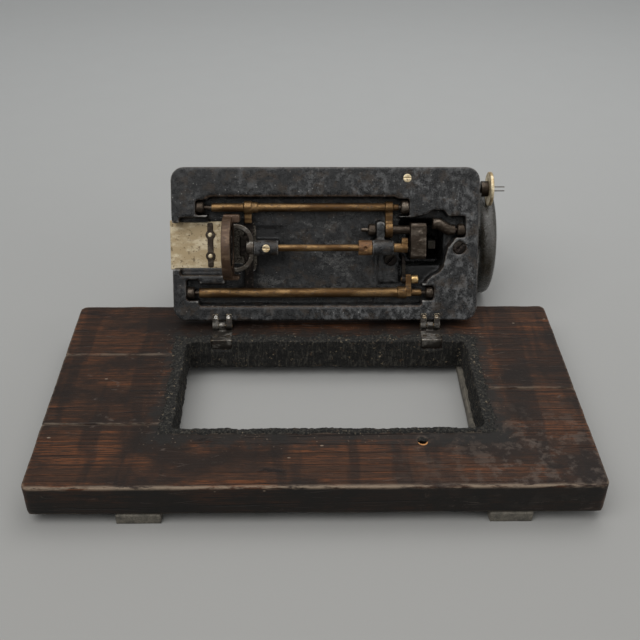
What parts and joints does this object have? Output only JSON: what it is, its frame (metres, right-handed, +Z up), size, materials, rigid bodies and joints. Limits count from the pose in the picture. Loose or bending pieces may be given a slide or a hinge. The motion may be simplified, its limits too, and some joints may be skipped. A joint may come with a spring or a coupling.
{
  "type": "sewing machine in hinged base board",
  "caption": "Antique sewing machine head tilted back on bed hinges over a thick dark wooden base board with a felt-lined cut-out.",
  "frame": {"origin": "on the floor, in the middle of the whole object in plan", "axes": "+X along the board to the handwheel end, +Y to the back where the machine leans, +Z up"},
  "size_m": [0.588, 0.5184, 0.2279],
  "materials": {
    "board_wood": "dark stain, worn",
    "batten_wood": "raw, dirty",
    "lining_felt": "matted felt with glue",
    "hinge_iron": "worn japan",
    "hinge_brass": "tarnished",
    "japanned_iron": "worn black japan",
    "oiled_steel": "amber dried oil film",
    "brown_iron": "brown patina",
    "dark_steel": "dark patina",
    "bright_steel": "worn bright",
    "pale_plate": "cream stained plating",
    "old_brass": "tarnished",
    "wheel_black": "glossy black enamel",
    "pale_pulley": "worn cream plating"
  },
  "bodies": {
    "board": {"front_plank": "board_wood", "rear_plank": "board_wood", "left_inset_plank": "board_wood", "battens": "batten_wood", "wood_screws": "dark_steel", "opening_lining": "lining_felt", "hinge_leaves": "hinge_iron", "hinge_pins": "hinge_brass"},
    "machine": {"hinge_fingers": "hinge_iron", "hinge_set_screws": "bright_steel", "bed_casting": "japanned_iron", "arm_casting": "japanned_iron", "arm_bolts": "dark_steel", "bed_screws": "old_brass", "pivot_screws": "bright_steel", "pivot_nuts": "dark_steel", "shuttle_race": "brown_iron", "cover_screws": "dark_steel", "needle_plate": "bright_steel", "face_plate": "bright_steel", "take_up_pin": "bright_steel", "tension_post": "bright_steel", "tension_discs": "bright_steel", "spool_pin": "bright_steel", "thread_guides": "bright_steel", "winder_bracket": "japanned_iron"},
    "shuttle_drive": {"shuttle_shaft": "oiled_steel", "shuttle_driver": "bright_steel", "shuttle": "dark_steel", "bobbin": "old_brass", "shaft_collar": "old_brass"},
    "feed_lift": {"front_rocking_shaft": "oiled_steel"},
    "feed_rocker": {"rear_rocking_shaft": "oiled_steel", "fork_roller": "old_brass"},
    "feed_carrier": {"feed_bar": "bright_steel", "feed_dog": "bright_steel"},
    "feed_rod": {"feed_connection": "dark_steel"},
    "rocker": {"rock_shaft": "dark_steel"},
    "slide_cover": {"slide_plate": "pale_plate", "spring_strip": "brown_iron", "strip_screws": "bright_steel"},
    "take_up": {"take_up_lever": "bright_steel"},
    "needle_slide": {"needle_bar": "bright_steel", "needle_clamp": "bright_steel", "needle": "bright_steel"},
    "presser": {"presser_bar": "bright_steel", "presser_foot": "bright_steel", "foot_screw": "bright_steel"},
    "lifter": {"lifter_lever": "bright_steel"},
    "tension_knob": {"tension_nut": "bright_steel"},
    "regulator": {"stitch_regulator": "old_brass"},
    "main_shaft": {"arm_shaft": "bright_steel", "handwheel": "wheel_black"},
    "clutch": {"clutch_knob": "bright_steel", "clutch_screw": "bright_steel"},
    "needle_drive": {"needle_link": "dark_steel"},
    "pillar_drive": {"pillar_rod": "dark_steel"},
    "winder_swing": {"winder_frame": "japanned_iron"},
    "winder_spin": {"winder_pulley": "pale_pulley", "winder_spindle": "bright_steel"}
  },
  "joints": [
    {"name": "head_tilt", "type": "hinge", "parent": "board", "child": "machine", "pos_m": [0, 0.00776, 0.056], "axis": [1, 0, 0], "range_deg": [0, 116.6]},
    {"name": "handwheel_turn", "type": "hinge", "parent": "machine", "child": "main_shaft", "pos_m": [0.014, 0.18424, 0.075], "axis": [1, 0, 0], "continuous": true},
    {"name": "clutch_turn", "type": "hinge", "parent": "main_shaft", "child": "clutch", "pos_m": [0.239, 0.18424, 0.075], "axis": [1, 0, 0], "range_deg": [0, 60]},
    {"name": "needle_link_swing", "type": "hinge", "parent": "main_shaft", "child": "needle_drive", "pos_m": [-0.085, 0.19676, 0.06873], "axis": [1, 0, 0], "continuous": true},
    {"name": "pillar_rod_swing", "type": "hinge", "parent": "main_shaft", "child": "pillar_drive", "pos_m": [0.147, 0.18782, 0.07321], "axis": [1, 0, 0], "continuous": true},
    {"name": "needle_bar_slide", "type": "slide", "parent": "machine", "child": "needle_slide", "axis": [0, 0.8942, -0.4477], "range_m": [-0.028, 0]},
    {"name": "lifter_turn", "type": "hinge", "parent": "machine", "child": "lifter", "pos_m": [-0.095, 0.14059, 0.06666], "axis": [0, -0.4477, -0.8942], "range_deg": [0, 75]},
    {"name": "presser_slide", "type": "slide", "parent": "machine", "child": "presser", "axis": [0, 0.8942, -0.4477], "range_m": [0, 0.006]},
    {"name": "take_up_swing", "type": "hinge", "parent": "machine", "child": "take_up", "pos_m": [-0.106, 0.16993, 0.07545], "axis": [1, 0, 0], "range_deg": [-18, 18]},
    {"name": "rock_shaft_turn", "type": "hinge", "parent": "machine", "child": "rocker", "pos_m": [0.014, 0.06416, 0.15749], "axis": [1, 0, 0], "range_deg": [-8, 8]},
    {"name": "shuttle_turn", "type": "hinge", "parent": "machine", "child": "shuttle_drive", "pos_m": [0.014, 0.03554, 0.14945], "axis": [1, 0, 0], "range_deg": [-48, 48]},
    {"name": "feed_lift_turn", "type": "hinge", "parent": "machine", "child": "feed_lift", "pos_m": [0.014, 0.07625, 0.18163], "axis": [1, 0, 0], "range_deg": [-3, 3]},
    {"name": "feed_rocker_turn", "type": "hinge", "parent": "machine", "child": "feed_rocker", "pos_m": [0.014, 0.02992, 0.08908], "axis": [1, 0, 0], "range_deg": [-8, 8]},
    {"name": "feed_bar_turn", "type": "hinge", "parent": "feed_rocker", "child": "feed_carrier", "pos_m": [-0.085, 0.03662, 0.08572], "axis": [1, 0, 0], "range_deg": [-8, 8]},
    {"name": "feed_rod_turn", "type": "hinge", "parent": "feed_rocker", "child": "feed_rod", "pos_m": [0.104, 0.03717, 0.10357], "axis": [1, 0, 0], "range_deg": [-8, 8]},
    {"name": "slide_plate_slide", "type": "slide", "parent": "machine", "child": "slide_cover", "axis": [1, 0, 0], "range_m": [-0.05, 0]},
    {"name": "tension_turn", "type": "hinge", "parent": "machine", "child": "tension_knob", "pos_m": [-0.084, 0.16746, 0.13149], "axis": [0, -0.4477, -0.8942], "range_deg": [-360, 360]},
    {"name": "regulator_slide", "type": "slide", "parent": "machine", "child": "regulator", "axis": [0, 0.8942, -0.4477], "range_m": [0, 0.016]},
    {"name": "winder_swing_turn", "type": "hinge", "parent": "machine", "child": "winder_swing", "pos_m": [0.191, 0.14224, 0.13853], "axis": [1, 0, 0], "range_deg": [0, 20]},
    {"name": "winder_spindle_turn", "type": "hinge", "parent": "winder_swing", "child": "winder_spin", "pos_m": [0.2245, 0.15233, 0.16702], "axis": [1, 0, 0], "continuous": true}
  ],
  "couplings": [
    {"joint": "needle_link_swing", "follows": "handwheel_turn", "ratio": -1},
    {"joint": "pillar_rod_swing", "follows": "handwheel_turn", "ratio": -1},
    {"joint": "lifter_turn", "follows": "presser_slide", "rad_per_m": 218.16},
    {"joint": "shuttle_turn", "follows": "rock_shaft_turn", "ratio": -6},
    {"joint": "feed_lift_turn", "follows": "rock_shaft_turn", "ratio": 0.375},
    {"joint": "feed_bar_turn", "follows": "feed_rocker_turn", "ratio": -1},
    {"joint": "feed_rod_turn", "follows": "feed_rocker_turn", "ratio": -1}
  ]
}
